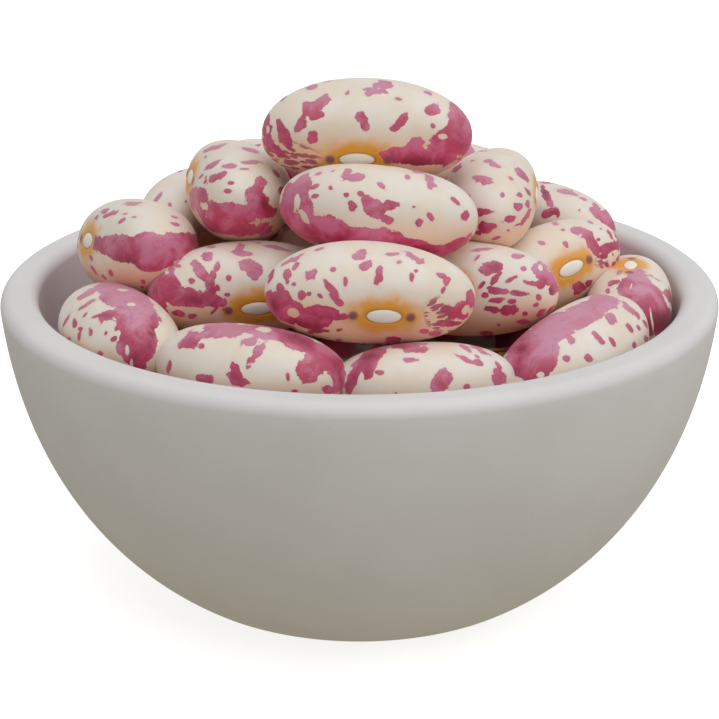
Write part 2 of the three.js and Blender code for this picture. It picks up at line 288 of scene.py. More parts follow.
        (75, 323, 4.4, 2.2, 90), (80, 329, 2, 1.8, 0), (79, 336.5, 6, 2, -80), (91, 332, 4.3, 2.5, 90),
        (106, 333, 2, 1.3, -60), (85, 315, 3.8, 1, -50), (117, 328, 3.6, 2, -50), (114, 339, 3.6, 2.4, -30),
        (69, 339, 2.4, 1.4, 90), (58, 332, 2.2, 1.6, 45), (101, 353.5, 3.2, 2.6, 0),
        (160, 319, 3.4, 1.2, 70), (116, 289, 20, 8, 8), (142, 300, 10, 8, 40),
    ),
    "rim_front_left": (
        (191.5, 340.5, 13, 7.5, -25), (223, 328, 24, 9.5, 0), (267, 332, 28, 7.5, 12),
        (299, 343, 20, 9, 33), (322, 357, 15, 14, 0), (309, 370, 14, 14, 0), (336, 370, 28, 8.5, 82),
        (328, 390, 6, 6, 0), (201, 345.6, 3.2, 3.3, 0), (248, 342, 8, 4.6, -18), (257, 353, 13.5, 4.6, -55),
        (235, 368.6, 9, 5.5, 80), (234, 377.5, 9.5, 7, 30), (243, 382.6, 6.5, 5, 15), (205, 379, 8.5, 5, 8),
        (169, 367, 6, 2.4, -80), (288, 377, 4, 2.5, 80), (294, 391, 3, 1.4, 0),
    ),
    "rim_front_right": (
        (373.6, 354.5, 22, 7, -38), (368, 369, 13, 6.5, -68), (352, 381, 16, 6, -68),
        (411.5, 347, 16, 5.2, 8), (394, 345, 10, 3, 0), (409, 360, 8, 2.9, 3), (380, 373, 4, 2.3, 5),
        (441, 381, 15, 7.3, -52), (464, 359, 10, 2.1, 27), (466.6, 348.5, 7, 2, 35),
        (480, 350, 10.5, 2.5, 28), (477, 356, 4, 1.7, 35), (478.6, 362.5, 4.5, 3.3, 25),
        (498, 365, 4.5, 1.8, 52), (500, 374.6, 11, 3.7, 48), (496, 380, 6, 4, 60), (467.5, 387, 3, 2.6, 0),
        (396, 393, 2, 1, 0),
    ),
    "rim_right_front": (
        (532, 355, 27, 26, 0), (552, 329, 25, 16, -30), (586, 313, 27, 13, -30), (606.5, 302.5, 15, 7, 8),
        (630, 309, 12, 2.8, 42), (569, 338, 7.5, 3.8, 45), (611, 319, 7, 4, 40), (599, 338, 8, 3.3, 48),
        (612, 341, 5.6, 2.2, 55), (630, 328, 4.8, 2.2, 55), (638.5, 328, 3, 1.3, 60),
        (637, 314, 4.6, 1.5, 45), (645, 323, 4.4, 1.6, 60), (646, 339, 4, 2, 80), (634, 345, 3.5, 2, 80),
        (589, 358, 5.2, 3.2, 38), (567, 358, 3.4, 2.9, 30),
    ),
    "rim_right": (
        (619.6, 272.4, 3.4, 1.8, -35), (608.1, 291.6, 2.4, 1.9, 90), (628, 286, 10, 8, 0),
        (640, 290, 21, 14, 35), (652, 304, 23, 15, 48), (660, 320, 18, 14, -55),
        (613.9, 282.6, 6.8, 2.4, -22), (636.8, 273, 8, 4.6, 0), (625, 293, 7, 5.4, 30),
        (645, 279, 8, 6, 20), (671, 304, 16, 6, 72), (655.3, 278.8, 6, 0.9, 27),
    ),
}

# Where the colour of the marks is deeper: partly their own darker tone, partly painted contact shade where
# beans touch
DEEP_AND_SHADED = {
    "crown": ((414, 168, 52, 20, -3), (462, 142, 12, 7, 80), (276, 150, 12, 6, 35), (285, 136, 12, 5, 68)),
    "front": (
        (303, 327, 36, 16, 8), (332, 316, 20, 9, 5), (274, 308, 7, 14, 0), (451, 324, 16, 8, -10),
        (400, 340, 16, 5, 0),
    ),
    "upper_front": ((345, 248, 30, 9, 8), (420, 250, 50, 8, 4), (315, 240, 14, 8, 40)),
    "left_front": ((196, 301, 42, 8, 6), (212, 288, 14, 6, 60), (200, 314, 30, 6, 5)),
    "upper_left": ((232, 231, 44, 7, 4), (264, 203, 7, 11, 20)),
    "left": ((132, 264, 42, 12, 12), (195, 241, 16, 6, 5)),
    "right_front": (
        (494, 306, 26, 8, 5), (551, 291, 8, 12, 0), (487, 284, 12, 8, 0), (495, 268, 12, 7, 0),
        (487, 334, 20, 4, 4),
    ),
    "right": ((583, 286, 14, 11, -20), (606, 259, 16, 9, 0), (612, 248, 10, 5, -10)),
    "upper_right": ((484, 228, 18, 12, 0), (509, 219, 12, 6, -18), (457, 168, 10, 4, -33)),
    "right_back": ((551, 213, 12, 7, 0), (546, 194, 6, 12, 0)),
    "rim_left": ((134, 358, 18, 9, 90), (105, 315, 12, 6, -25), (152, 335, 5, 18, 10)),
    "rim_front_left": (
        (341, 370, 30, 8, 84), (300, 339, 34, 9, 28), (236, 378, 12, 6, 30), (199, 343, 8, 6, 0),
    ),
    "rim_front_right": (
        (370, 356, 24, 9, -38), (350, 382, 18, 9, -66), (410, 348, 20, 6, 6), (368, 372, 10, 5, -68),
    ),
    "rim_right_front": (
        (516, 371, 20, 8, -40), (522, 348, 9, 14, 30), (536, 378, 22, 5, -12), (640, 340, 10, 8, 0),
    ),
    "rim_right": (
        (658, 322, 20, 16, -50), (640, 307, 18, 9, 45), (616, 285, 12, 8, -20), (671, 300, 8, 10, 0),
    ),
}

# Pale openings left in the marks, most of them where highlights lie: partly painted highlights
HOLES_AND_HIGHLIGHTS = {
    "crown": ((268, 129, 4, 1.4, 90), (444, 137, 4.5, 3, 0)),
    "front": ((293, 314, 7.8, 4, 10), (466, 310, 5, 2.4, -55)),
    "upper_front": ((297, 204, 9, 3.2, 85), (303, 214.5, 11, 3, 55)),
    "left_front": ((166, 270, 4, 2.8, 90), (168, 260, 6, 1.6, -60)),
    "upper_left": ((262, 221, 10, 1.3, -6), (204, 207, 4, 3, 70)),
    "right_front": ((540.5, 268, 3.8, 3, 90),),
    "right": ((615, 238.5, 3, 1.6, 60),),
    "rim_left": (
        (131, 304, 4, 1.8, 0), (127, 349, 5, 1.7, 90), (131.6, 364, 5, 1.8, 90), (123, 290, 5, 1.2, 5),
    ),
    "rim_front_left": ((321.6, 381, 6, 4.5, 80), (263.6, 330, 8, 2.4, 8), (241, 323, 5, 1.8, 5)),
    "rim_front_right": ((360, 381, 8, 2.5, -75),),
    "rim_right_front": ((540, 375, 3.6, 2.8, 0),),
    "rim_right": (
        (668, 303.5, 10, 1.8, 62), (656, 282.5, 9, 2.6, 33), (652, 321.5, 12, 1.2, 82),
        (631, 286.5, 3, 0.9, -70),
    ),
}

# Where fine strokes radiate from the eye
STROKES = {
    "crown": ((292, 156, 32, 15, 12),),
    "front": ((438, 314, 19, 15, 80),),
    "right": ((601, 262, 8, 6, 0),),
}

# The same kinds at random, where nothing is drawn: how many on each bean, half lengths and half widths in
# millimetres, and how strongly they keep to the tips
WILD = {
    "patches": (5, (2.5, 4.6), (1.5, 2.6), 1.0),
    "spots": (46, (0.4, 1.5), (0.25, 0.7), 0.1),
    "holes_and_highlights": (4, (0.3, 0.7), (0.2, 0.4), 1.0),
    "deep_and_shaded": (2, (2.5, 4.6), (0.7, 1.3), 1.0),
}
WILD_TIP_PULL = 4.0
WILD_AIM = (EYE_ALONG, 0.0, -4.2)  # what they point at
WILD_STRAY = 2.2  # how far past it they may point
WILD_STROKES = (4.4, 2.0, 1.2)  # beside the eye: how far off, half width, and length to width
WILD_FROM = 0.1  # they start where the surface faces the viewer this much, 1 being straight
WILD_FADE = 0.3  # and are all there this much further round
DRAWN_FADE = 0.5  # the drawn ones shrink away as the surface turns this far from the viewer

SPOT_LIMIT = 5.2  # half width of the widest mark that keeps its exact oval, in picture units
SPOT_FIELDS = ("spot_1", "spot_2", "spot_3")
HOLE_AND_HIGHLIGHT_FIELD = "hole_and_highlight"
MERGE = 0.08  # how softly near patches run together, in millimetres
BEYOND = 3.0  # how far outside every mark a place can count as, in millimetres
EYE_DEPTH = (-2.0, -3.0)  # heights between which the eye's colours set in, in millimetres
BLOOM_HALF = (3.5, 1.9)  # half the length and width of the bloom round the eye, in millimetres

# Colours of small things
DOT_COLOUR = (0.28, 0.085, 0.11)
EYE_EDGE = (0.30, 0.13, 0.04)

# Glazes, which multiply a colour
CLAY_CLOUD = (0.965, 0.962, 0.957)
CLAY_SPECK = 0.6
FLOOR_CLOUD = 0.99
# painted shade: the cream darkened for the mound below the beans
CORE_SHADE = 0.55
WARM_CREAM = (0.98, 0.92, 0.83)
# painted warm light and shade: the cream turns redder on the undersides, for the light that comes through
# the beans
CREAM_PAINTED_WARM_UNDERSIDE = (1.14, 0.80, 0.62)
# painted shade: the cream of the beans in the gaps, darkened
CREAM_PAINTED_GAP_SHADE = (0.75, 0.52, 0.42)
ROSE_DEEP_AND_SHADED = (0.9, 0.7, 0.9)
DARKEST_MARKS_AND_SHADE = (0.52, 0.32, 0.40)
STREAKY_MARKS = (0.80, 0.55, 0.65)
# painted warm light and shade: the marks turn redder on the undersides
MARKS_PAINTED_WARM_UNDERSIDE = (1.35, 0.90, 1.10)
STROKE_SHADE = 0.85


# Settings


def length_setting(name, description, default):
    """A setting that is a length."""
    return FloatProperty(name=name, description=description, default=default, unit="LENGTH")


def number_setting(name, description, default, **choices):
    """A setting that is a plain number, whole if its default is."""
    kind = IntProperty if isinstance(default, int) else FloatProperty
    return kind(name=name, description=description, default=default, **choices)


def colour_setting(name, description, default):
    """A setting that is a colour."""
    return FloatVectorProperty(name=name, description=description, default=default, size=3, subtype="COLOR")


class BowlSettings(PropertyGroup):
    """Sizes and colour of the bowl."""

    rim_radius: length_setting("Rim radius", "Outer radius at the rim", BOWL_TOP.x)
    height: length_setting("Height", "From the foot to the top of the rim", BOWL_TOP.z)
    wall: length_setting("Wall", "Thickness of the wall and the floor", 0.00325)
    rim_rounding: length_setting("Rim rounding", "Radius of the rim's two edges", 0.0011)
    sectors: number_setting("Sectors", "Steps round the bowl", 192, min=24)
    clay: colour_setting("Clay", "Colour of the bowl", (0.70, 0.696, 0.692))


class BeanSettings(PropertyGroup):
    """Sizes and colours of the beans."""

    length: length_setting("Length", "From tip to tip", 0.0168)
    thickness: length_setting("Thickness", "From side to side", 0.0079)
    depth: length_setting("Depth", "From the eye to the back", 0.0087)
    rings: number_setting("Rings", "Steps from the eye to the back", 48, min=16)
    segments: number_setting("Segments", "Steps round the eye", 72, min=12)
    cream: colour_setting("Cream", "Ground colour of the coat", (0.80, 0.745, 0.68))
    mauve: colour_setting("Mauve", "Lighter colour of the marks", (0.58, 0.182, 0.29))
    # also used as a painted sheen on the marks that face up
    lilac_and_sheen: colour_setting("Lilac", "Colour of the marks where they face up", (0.64, 0.36, 0.48))
    rose: colour_setting("Rose", "Darker colour of the marks", (0.51, 0.075, 0.142))
    ochre: colour_setting("Ochre", "Colour round the eye", (0.79, 0.335, 0.012))
    eye: colour_setting("Eye", "Colour of the eye", (0.88, 0.83, 0.75))


class StageSettings(PropertyGroup):
    """Floor, lights and camera."""

    floor_side: length_setting("Floor side", "Side of the square floor", 4.0)
    floor_colour: colour_setting("Floor", "Colour of the floor", (0.60, 0.60, 0.60))
    floor_glow: number_setting("Floor glow", "Brightness of the light up through the floor", 0.72)
    sky: number_setting("Sky", "Brightness of the even light from all round", 0.54)
    key_strength: number_setting("Key light", "Strength of the soft light overhead", 1.25)
    fill_strength: number_setting("Fill light", "Strength of the weak light from the right", 0.34)
    key_spread: number_setting("Spread", "How wide both lights are", math.radians(70), subtype="ANGLE")


# Meshes


def write_mesh(name, points, faces, attributes=None, corner_places=None):
    """A smooth-shaded mesh object from points in millimetres and a list of faces. attributes gives each
    point or corner one number or three, and corner_places is a map for the corners."""
    mesh = bpy.data.meshes.new(name)
    mesh.from_pydata((points * MM).tolist(), [], faces)
    mesh.polygons.foreach_set("use_smooth", np.ones(len(mesh.polygons), bool))
    for label, values in (attributes or {}).items():
        kind, field = ("FLOAT", "value") if values.ndim == 1 else ("FLOAT_VECTOR", "vector")
        attribute = mesh.attributes.new(label, kind, "POINT" if len(values) == len(points) else "CORNER")
        attribute.data.foreach_set(field, values.astype(np.float32).ravel())
    if corner_places is not None:
        layer = mesh.uv_layers.new(name=BAKE_MAP)
        layer.uv.foreach_set("vector", corner_places.astype(np.float32).ravel())
    mesh.validate()
    mesh.update()
    piece = bpy.data.objects.new(name, mesh)
    bpy.context.scene.collection.objects.link(piece)
    return piece


def grid_faces(rings, segments, first=0):
    """Faces of a closed surface: point `first` is a pole, then come the rings and the last pole. They
    face outwards when the rings run anticlockwise, seen from the last pole."""
    ring = first + 1 + segments * np.arange(rings)[:, None] + np.arange(segments)[None, :]
    following = np.roll(ring, -1, axis=1)
    last = first + 1 + rings * segments
    start_fan = np.stack([np.full(segments, first), following[0], ring[0]], 1)
    quads = np.stack([ring[:-1], following[:-1], following[1:], ring[1:]], 2).reshape(-1, 4)
    end_fan = np.stack([ring[-1], following[-1], np.full(segments, last)], 1)
    return start_fan.tolist() + quads.tolist() + end_fan.tolist()


def bezier(start, corner, end, steps):
    """Points of a quadratic Bezier curve, (1 - t)^2 start + 2 t (1 - t) corner + t^2 end."""
    t = np.linspace(0, 1, steps + 1)[:, None]
    return (1 - t) ** 2 * np.array(start) + 2 * t * (1 - t) * np.array(corner) + t**2 * np.array(end)


def turned(profile, sectors):
    """Points of a profile of (radius, height) turned about Z, whose first and last lie on the axis."""
    angle = 2 * np.pi * np.arange(sectors) / sectors
    radius, height = profile[1:-1, 0][:, None], profile[1:-1, 1][:, None]
    rings = np.stack(np.broadcast_arrays(radius * np.cos(angle), radius * np.sin(angle), height), 2)
    poles = [np.array([[0.0, 0.0, profile[i, 1]]]) for i in (0, -1)]
    return np.concatenate([poles[0], rings.reshape(-1, 3), poles[1]])


# The bowl


def wall_radius(height, shoulder_height, shoulder_radius, depth):
    """Radius of a wall: shoulder radius * bulge / bulge at the shoulder, where the bulge follows a
    superellipse, (1 - (drop / depth)^power)^(1 / power)."""
    drop = shoulder_height + UPRIGHT_ABOVE_SHOULDER - height
    bulge = (1 - (drop / depth) ** CURVE_POWER) ** (1 / CURVE_POWER)
    bulge_at_shoulder = (1 - (UPRIGHT_ABOVE_SHOULDER / depth) ** CURVE_POWER) ** (1 / CURVE_POWER)
    return shoulder_radius * bulge / bulge_at_shoulder


class Walls:
    """The bowl's sizes in millimetres, and its outer and inner wall as functions of height."""

    def __init__(self, settings):
        self.rim_radius = settings.rim_radius / MM
        self.height = settings.height / MM
        self.wall = settings.wall / MM
        self.rounding = settings.rim_rounding / MM
        self.shoulder = self.height - self.rounding

    def outer(self, height):
        """Radius of the outer wall, which meets the rim."""
        return wall_radius(height, self.shoulder, self.rim_radius, CURVE_DEPTH)

    def inner(self, height, clearance=0.0):
        """Radius of the inner wall: the same curve, a wall and a clearance further in."""
        inset = self.wall + clearance
        return wall_radius(height, self.shoulder, self.rim_radius - inset, CURVE_DEPTH - inset)

    def line(self, radius_at, bottom, top, steps):
        """Points up a wall, at heights bottom + (top - bottom) t^crowding."""
        height = bottom + (top - bottom) * np.linspace(0, 1, steps + 1) ** WALL_CROWDING
        return np.stack([radius_at(height), height], 1)

    def knee(self, clearance, steps):
        """From the inner wall round the knee to the floor and the axis."""
        floor = self.wall + clearance
        wall_end = floor + FLOOR_KNEE
        corner = (self.inner(floor, clearance), floor)
        start = (self.inner(wall_end, clearance), wall_end)
        end = (corner[0] - 2 * FLOOR_KNEE, floor)
        radius = np.linspace(end[0], 0, FLOOR_STEPS + 1)[1:]
        flat = np.stack([radius, np.full(FLOOR_STEPS, floor)], 1)
        return np.concatenate([bezier(start, corner, end, steps), flat])


def bowl_profile(walls):
    """The turned line: foot, outer wall, the rim's two quarter circles, inner wall and floor."""
    foot = walls.outer(0.0)
    flat = np.stack([np.linspace(0, foot - FOOT_ROUNDING, FOOT_STEPS + 1), np.zeros(FOOT_STEPS + 1)], 1)
    wall_start = (walls.outer(FOOT_ROUNDING), FOOT_ROUNDING)
    edge = bezier((foot - FOOT_ROUNDING, 0), (foot, 0), wall_start, EDGE_STEPS)
    outside = walls.line(walls.outer, FOOT_ROUNDING, walls.shoulder, OUTER_STEPS)
    quarter = np.linspace(0, np.pi / 2, RIM_STEPS + 1)[:, None]
    centres = (walls.rim_radius - walls.rounding, walls.rim_radius - walls.wall + walls.rounding)
    arcs = [
        np.concatenate([c + walls.rounding * np.cos(a), walls.shoulder + walls.rounding * np.sin(a)], 1)
        for c, a in zip(centres, (quarter, quarter + np.pi / 2))
    ]
    inside = walls.line(walls.inner, walls.wall + FLOOR_KNEE, walls.shoulder, INNER_STEPS)[::-1]
    knee = walls.knee(0.0, EDGE_STEPS)
    return np.concatenate([flat, edge[1:], outside[1:], arcs[0][1:], arcs[1], inside[1:], knee[1:]])


def mound_profile(walls):
    """The turned line: floor and inner wall with a clearance, then one Bezier slope to the top."""
    radius, height = CORE_SHOULDER
    knee_steps, wall_steps, slope_steps = CORE_STEPS
    bottom = walls.knee(CORE_CLEARANCE, knee_steps)[::-1]
    wall = walls.line(lambda h: walls.inner(h, CORE_CLEARANCE), bottom[-1, 1], height, wall_steps)
    slope = bezier((radius, height), (radius * CORE_CROWN, CORE_TOP), (0.0, CORE_TOP), slope_steps)
    return np.concatenate([bottom, wall[1:-1], slope])


# The beans


def eye_grid(rings, segments):
    """Polar coordinates about a bean's eye: an angle from the eye for each ring, one round it for each
    segment, and each ring's share of the way to the back. Rings near the eye follow its outline, the
    others lie at pi t - bias sin(2 pi t), and the segments at 2 pi s + bias sin(4 pi s)."""
    near = math.asin(EYE_HALF[0] / TIP) * np.array(EYE_RINGS)
    pace = np.pi * (1 - 2 * RING_BIAS)
    first = near[-1] / pace
    t = first + (1 - first) * np.linspace(0, 1, rings - len(near) + 2)[1:-1]
    share = np.concatenate([near / (2 * pace), t / 2])
    polar = np.concatenate([near, np.pi * t - RING_BIAS * np.sin(2 * np.pi * t)])
    s = np.arange(segments) / segments
    return polar, 2 * np.pi * s + SECTOR_BIAS * np.sin(4 * np.pi * s), share


def directions(polar, round_angle):
    """Unit directions from a bean's middle on the grid, (sin p cos q, sin p sin q, -cos p), both poles
    included, leant over so that the grid's axis goes through the eye."""
    p, q = polar[:, None], round_angle[None, :]
    rings = np.stack(np.broadcast_arrays(np.sin(p) * np.cos(q), np.sin(p) * np.sin(q), -np.cos(p)), 2)
    grid = np.concatenate([[[0.0, 0.0, -1.0]], rings.reshape(-1, 3), [[0.0, 0.0, 1.0]]])
    lean = math.asin(EYE_ALONG / TIP)
    x = grid[:, 0] * math.cos(lean) - grid[:, 2] * math.sin(lean)
    z = grid[:, 0] * math.sin(lean) + grid[:, 2] * math.cos(lean)
    return np.stack([x, grid[:, 1], z], 1)


def bean_surface(direction, half, rng):
    """A bean about its own middle, long along X, with its eye below, for unit directions from there. The
    reach is (|x|^n + |y|^n + |z|^n)^(-1/n), the tips droop by bend * (along^2 - share), the eye side is
    flatter, and slow sine waves dent it. The eye is a low pad in a groove, and each dot is a bump."""
    reach = (np.abs(direction) ** BEAN_POWER).sum(1) ** (-1 / BEAN_POWER)
    unit = direction * reach[:, None]
    waves = rng.normal(size=(DENT_WAVES, 3)) * DENT_PACE
    phases = rng.uniform(0, 2 * np.pi, DENT_WAVES)
    dent = 1 + DENT / half[1] * np.sin(direction @ waves.T + phases).mean(1)
    x = half[0] * unit[:, 0] * dent
    y = half[1] * unit[:, 1] * dent
    flatness = np.where(unit[:, 2] < 0, EYE_SIDE_FLATNESS, 1.0)
    z = half[2] * unit[:, 2] * flatness * dent - BEAN_BEND * (unit[:, 0] ** 2 - BEAN_BEND_SHARE)
    from_eye = np.hypot((x - EYE_ALONG) / EYE_HALF[0], y / EYE_HALF[1])
    groove_depth, groove_place, groove_width = GROOVE
    relief = EYE_RISE * np.clip(1 - from_eye**2, 0, 1)
    relief -= groove_depth * np.exp(-(((from_eye - groove_place) / groove_width) ** 2))
    for along in DOTS_ALONG:
        relief += DOT_RISE * np.exp(-((np.hypot(x - EYE_ALONG - along, y) / DOT_RADIUS) ** 2))
    z -= relief * (z < 0)
    return np.stack([x, y, z], 1)


def turn_matrix(yaw, pitch, roll):
    """Rolled about the long axis, then pitched, then turned about Z."""
    a, b, c = (math.radians(v) for v in (yaw, -pitch, roll))
    about_z = np.array([[math.cos(a), -math.sin(a), 0], [math.sin(a), math.cos(a), 0], [0, 0, 1]])
    about_y = np.array([[math.cos(b), 0, math.sin(b)], [0, 1, 0], [-math.sin(b), 0, math.cos(b)]])
    about_x = np.array([[1, 0, 0], [0, math.cos(c), -math.sin(c)], [0, math.sin(c), math.cos(c)]])
    return about_z @ about_y @ about_x


def unit_rows(vectors):
    """Vectors divided by their own lengths."""
    return vectors / np.linalg.norm(vectors, axis=1)[:, None]


def front_view(points):
    """Where points show in the front view: (x, y) in picture units, and picture units per millimetre
    there, picture * lens / sensor / distance ahead."""
    place, aim = np.array(CAMERA_PLACE), np.array(CAMERA_AIM)
    ahead = (aim - place) / np.linalg.norm(aim - place)
    across = np.array([1.0, 0.0, 0.0])
    up = np.cross(across, ahead)
    away = (points - place) @ ahead
    unit = PICTURE * LENS / SENSOR / away
    x = PICTURE / 2 + (points - place) @ across * unit
    y = PICTURE / 2 - (points - place) @ up * unit
    return x, y, unit


def depth_in(ovals):
    """How far inside ovals points lie, in millimetres: half width - hypot(along, across)."""
    return ovals[..., 2] - np.hypot(ovals[..., 0], ovals[..., 1])


def run_together(ovals):
    """How far inside a group of ovals points lie: merge * log(sum(exp(depth / merge)))."""
    if not len(ovals):
        return np.full(ovals.shape[1], -BEYOND)
    depths = depth_in(ovals)
    highest = depths.max(0)
    return highest + MERGE * np.log(np.exp((depths - highest) / MERGE).sum(0))


def drawn_ovals(shapes, points, facing):
    """Points as seen from each ellipse drawn in the front view: (along * b / a, across) from its middle,
    and its half width b, in millimetres, which falls away where the surface turns from the viewer."""
    if not len(shapes):
        return np.zeros((0, len(points), 3))
    x, y, unit = front_view(points)
    cx, cy, a, b, tilt = (column[:, None] for column in np.array(shapes, float).T)
    turn = np.radians(tilt)
    along = (x - cx) * np.cos(turn) + (y - cy) * np.sin(turn)
    across = (y - cy) * np.cos(turn) - (x - cx) * np.sin(turn)
    half_width = b / unit - BEYOND * np.clip(-facing / DRAWN_FADE, 0, 1)
    return np.stack([along * b / a / unit, across / unit, half_width], 2)


def wild_ovals(kind, local, normals, rng, showing):
    """Points as seen from random ovals, as drawn_ovals gives them. They lie flat on the surface and point
    roughly towards the eye, and they fall away where nothing random is to show."""
    count, half_length, half_width, near_tips = WILD[kind]
    weight = np.exp(near_tips * (np.abs(local[:, 0]) / TIP - 1) * WILD_TIP_PULL)
    chosen = rng.choice(len(local), count, p=weight / weight.sum())
    centre, normal = local[chosen], normals[chosen]
    towards = np.array(WILD_AIM) - centre + rng.normal(size=(count, 3)) * WILD_STRAY
    along = unit_rows(towards - (towards * normal).sum(1)[:, None] * normal)
    across = np.cross(normal, along)
    a = rng.uniform(*half_length, count)[:, None]
    b = rng.uniform(*half_width, count)[:, None]
    offset = local[None, :, :] - centre[:, None, :]
    u, v, w = (np.einsum("mpi,mi->mp", offset, axis) for axis in (along, across, normal))
    half_widths = b - np.maximum(np.abs(w) - b, 0) - BEYOND * (1 - showing)
    return np.stack([u * b / a, v, half_widths], 2)


def nearest_ovals(ovals, flat, owner, count):
    """The corners of the faces as seen from the ovals nearest to each face. All corners of a face keep
    to the same ovals, so even one smaller than the face stays an exact oval."""
    spare = np.zeros((count, ovals.shape[1], 3))
    spare[..., 2] = -BEYOND
    ovals = np.concatenate([ovals, spare])
    starts = np.searchsorted(owner, np.arange(owner[-1] + 1))
    in_face = np.add.reduceat(depth_in(ovals)[:, flat], starts, axis=1) / np.bincount(owner)
    nearest = np.argsort(-in_face, axis=0)[:count]
    return [ovals[which[owner], flat] for which in nearest]


def wild_strokes(local, rng):
    """How far inside an oval beside the eye points lie: half width - hypot(along / stretch, across)."""
    off, half_width, stretch = WILD_STROKES
    side = rng.choice([-1.0, 1.0])
    depth = half_width - np.hypot((local[:, 0] - EYE_ALONG - side * off) / stretch, local[:, 1])
    return np.where(local[:, 2] < 0, np.clip(depth, -BEYOND, 1), -BEYOND)


def coat_fields(name, local, placed_points, turn, half, flat, owner, rng):
    """What the coat of one bean is painted from, in millimetres: places from the eye, how far inside the
    patches, the darker places and the strokes each point lies, and the corners of the faces as seen from
    the nearest spots and pale openings. The darker places are partly painted contact shade and the pale
    openings partly painted highlights. Random marks fill the side that has no drawn ones."""
    normals = unit_rows(local / half**2)
    to_viewer = unit_rows(np.array(CAMERA_PLACE) - placed_points)
    facing = (normals @ turn.T * to_viewer).sum(1)
    wild = np.clip((WILD_FROM - facing) / WILD_FADE, 0, 1) if name in MARKS else np.ones(len(local))
    marks = MARKS.get(name, ())
    drawn = {
        "patches": [mark for mark in marks if mark[3] > SPOT_LIMIT],
        "spots": [mark for mark in marks if mark[3] <= SPOT_LIMIT],
        "holes_and_highlights": HOLES_AND_HIGHLIGHTS.get(name, ()),
        "deep_and_shaded": DEEP_AND_SHADED.get(name, ()),
    }
    ovals = {}
    for kind in WILD:
        random = wild_ovals(kind, local, normals, rng, wild)
        ovals[kind] = np.concatenate([drawn_ovals(drawn[kind], placed_points, facing), random])
    random_strokes = wild_strokes(local, rng)
    drawn_strokes = run_together(drawn_ovals(STROKES.get(name, ()), placed_points, facing))
    return {
        "coat": local - np.array([EYE_ALONG, 0, 0]),
        "mark": run_together(ovals["patches"]),
        # the beans in the gaps, which have no name, count as far inside all over, so that they take the
        # painted shade of the gaps
        "deep_and_shaded": run_together(ovals["deep_and_shaded"]) if name else np.full(len(local), BEYOND),
        "streak": np.where(wild > 0.5, random_strokes, drawn_strokes),
        **dict(zip(SPOT_FIELDS, nearest_ovals(ovals["spots"], flat, owner, len(SPOT_FIELDS)))),
        HOLE_AND_HIGHLIGHT_FIELD: nearest_ovals(ovals["holes_and_highlights"], flat, owner, 1)[0],
    }


def lower_places(rng):
    """Places of the beans in the gaps: rings about Z, each bean lying roughly along its ring."""
    round_ring, from_line, from_level = LOWER_STRAY
    places = []
    for count, radius, height in LOWER_RINGS:
        for i in range(count):
            angle = 360 * i / count + rng.uniform(-round_ring, round_ring)
            x, y = radius * math.cos(math.radians(angle)), radius * math.sin(math.radians(angle))
            yaw = angle + 90 + rng.uniform(-from_line, from_line)
            pitch, roll = rng.uniform(-from_level, from_level), rng.uniform(0, 360)
            places.append((x, y, height, yaw, pitch, roll, rng.uniform(*LOWER_SIZES)))
    return places


def map_places(polar_share, segments, round_angle, cell, rows):
    """Places of one bean's points on the map: its eye half and its back half are two ovals, each in a
    cell of its own, with the pole in the middle."""
    share = np.concatenate([[0.0], np.repeat(polar_share, segments), [1.0]])
    turn = np.concatenate([[0.0], np.tile(round_angle, len(polar_share)), [0.0]])
    spokes = np.stack([np.cos(turn), np.sin(turn)], 1)
    halves = []
    for half, reach in enumerate((share, 1 - share)):
        row, column = divmod(2 * cell + half, MAP_COLUMNS)
        middle = np.array([(column + 0.5) / MAP_COLUMNS, (row + 0.5) / rows])
        halves.append(middle + MAP_FILL * reach[:, None] * spokes / np.array([MAP_COLUMNS, rows]))
    return halves


def heap_of_beans(settings):
    """All beans in one set of arrays: points, faces, the fields of their coats, and the map for the bake.
    Those in the gaps, which have no name, are meshed with half the steps."""
    half = np.array([settings.length, settings.thickness, settings.depth]) / MM / 2
    rng = np.random.default_rng(SEED)
    places = [*BEANS.items(), *(("", place) for place in lower_places(rng))]
    rows = math.ceil(2 * len(places) / MAP_COLUMNS)
    points, faces, corners, coats = [], [], [], []
    for cell, (name, place) in enumerate(places):
        rings, segments = (steps if name else steps // 2 for steps in (settings.rings, settings.segments))
        polar, round_angle, share = eye_grid(rings, segments)
        local = bean_surface(directions(polar, round_angle), half, rng)
        turn = turn_matrix(*place[3:6])
        placed = place[6] * local @ turn.T + np.array(place[:3])
        own_faces = grid_faces(rings, segments)
        flat = np.concatenate([np.array(face) for face in own_faces])
        owner = np.repeat(np.arange(len(own_faces)), [len(face) for face in own_faces])
        coats.append(coat_fields(name, local, placed, turn, half, flat, owner, rng))
        halves = map_places(share, segments, round_angle, cell, rows)
        eye_half = share.searchsorted(0.5) * segments
        corners.append(np.where((owner < eye_half)[:, None], halves[0][flat], halves[1][flat]))
        faces += grid_faces(rings, segments, sum(len(earlier) for earlier in points))
        points.append(placed)
    fields = {label: np.concatenate([coat[label] for coat in coats]) for label in coats[0]}
    return np.concatenate(points), faces, fields, np.concatenate(corners)


# Materials


def scaled(colour, factors):
    """A colour multiplied by one factor, or by one for each channel."""
    return tuple((np.array(colour) * factors).tolist())


class Field:
    """A node's output to reckon with. Each sum, difference, product or quotient adds a Math node."""

    def __init__(self, nodes, socket):
        self.nodes = nodes
        self.socket = socket

    def __add__(self, other):
        return self.nodes.math("ADD", self, other)

    def __sub__(self, other):
        return self.nodes.math("SUBTRACT", self, other)

    def __mul__(self, other):
        return self.nodes.math("MULTIPLY", self, other)

    def __truediv__(self, other):
        return self.nodes.math("DIVIDE", self, other)


